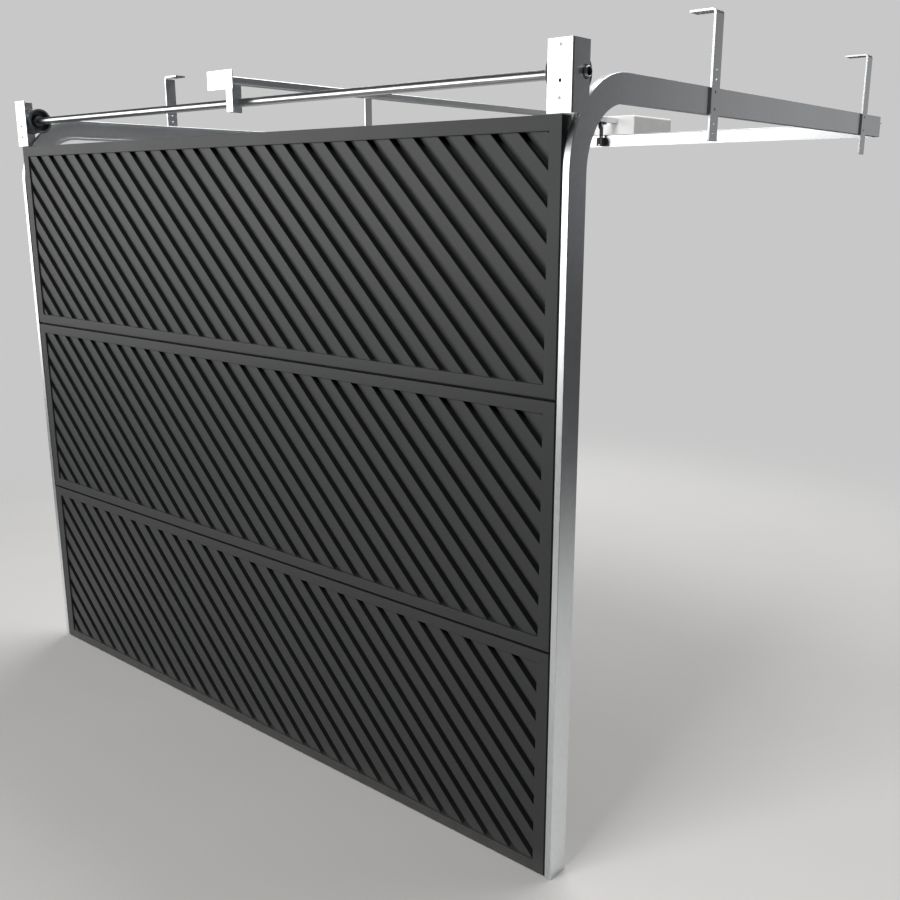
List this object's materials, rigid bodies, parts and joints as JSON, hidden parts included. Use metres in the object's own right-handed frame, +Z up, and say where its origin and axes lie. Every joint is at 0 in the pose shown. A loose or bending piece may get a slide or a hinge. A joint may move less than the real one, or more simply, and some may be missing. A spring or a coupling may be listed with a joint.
{
  "type": "sectional garage door",
  "caption": "Closed sectional overhead garage door with diagonal slats, side tracks, lift shaft with drums, hangers and a rail opener with trolley.",
  "frame": {"origin": "floor level, on the wall face of the left track, in the middle of the track's width, left as seen from the street", "axes": "+X across the door to the right as seen from the street, +Y into the garage, +Z up"},
  "size_m": [2.656, 2.66, 2.425],
  "materials": {
    "dark_grey_leaf": "satin, neutral dark grey",
    "galvanised_steel": "smooth zinc coating, light",
    "shaft_steel": "plain drawn tube",
    "drum_metal": "cast and turned",
    "seal_rubber": "black, matt",
    "roller_plastic": "off-white, plain",
    "motor_housing": "white, lightly grained",
    "trolley_plastic": "black, moulded",
    "arm_steel": "smooth zinc coating"
  },
  "bodies": {
    "door": {"bottom_seal": "seal_rubber", "bottom_section_back": "dark_grey_leaf", "bottom_section_frame": "dark_grey_leaf", "bottom_section_slats": "dark_grey_leaf", "centre_bracket": "galvanised_steel", "left_curved_track": "galvanised_steel", "left_end_bearing": "galvanised_steel", "left_end_bracket": "galvanised_steel", "left_front_hanger": "galvanised_steel", "left_horizontal_track": "galvanised_steel", "left_rear_hanger": "galvanised_steel", "left_roller_brackets": "galvanised_steel", "left_rollers": "roller_plastic", "left_vertical_track": "galvanised_steel", "lower_joint_hinges": "galvanised_steel", "middle_section_back": "dark_grey_leaf", "middle_section_frame": "dark_grey_leaf", "middle_section_slats": "dark_grey_leaf", "motor_head": "motor_housing", "opener_rail": "galvanised_steel", "rear_crossbar": "galvanised_steel", "right_curved_track": "galvanised_steel", "right_end_bearing": "galvanised_steel", "right_end_bracket": "galvanised_steel", "right_front_hanger": "galvanised_steel", "right_horizontal_track": "galvanised_steel", "right_rear_hanger": "galvanised_steel", "right_roller_brackets": "galvanised_steel", "right_rollers": "roller_plastic", "right_vertical_track": "galvanised_steel", "top_section_back": "dark_grey_leaf", "top_section_frame": "dark_grey_leaf", "top_section_slats": "dark_grey_leaf", "upper_joint_hinges": "galvanised_steel"},
    "shaft": {"lift_shaft": "shaft_steel", "left_cable_drum": "drum_metal", "right_cable_drum": "drum_metal"},
    "trolley": {"trolley": "trolley_plastic"},
    "arm": {"draw_arm": "arm_steel", "arm_clevis": "arm_steel"}
  },
  "joints": [
    {"name": "shaft_turn", "type": "hinge", "parent": "door", "child": "shaft", "pos_m": [1.305, 0.055, 2.198], "axis": [1, 0, 0], "continuous": true},
    {"name": "trolley_slide", "type": "slide", "parent": "door", "child": "trolley", "axis": [0, -1, 0], "range_m": [0, 1.85]},
    {"name": "arm_swing", "type": "hinge", "parent": "trolley", "child": "arm", "pos_m": [1.3485, 2.165, 2.232], "axis": [1, 0, 0], "range_deg": [-80, 0]}
  ]
}
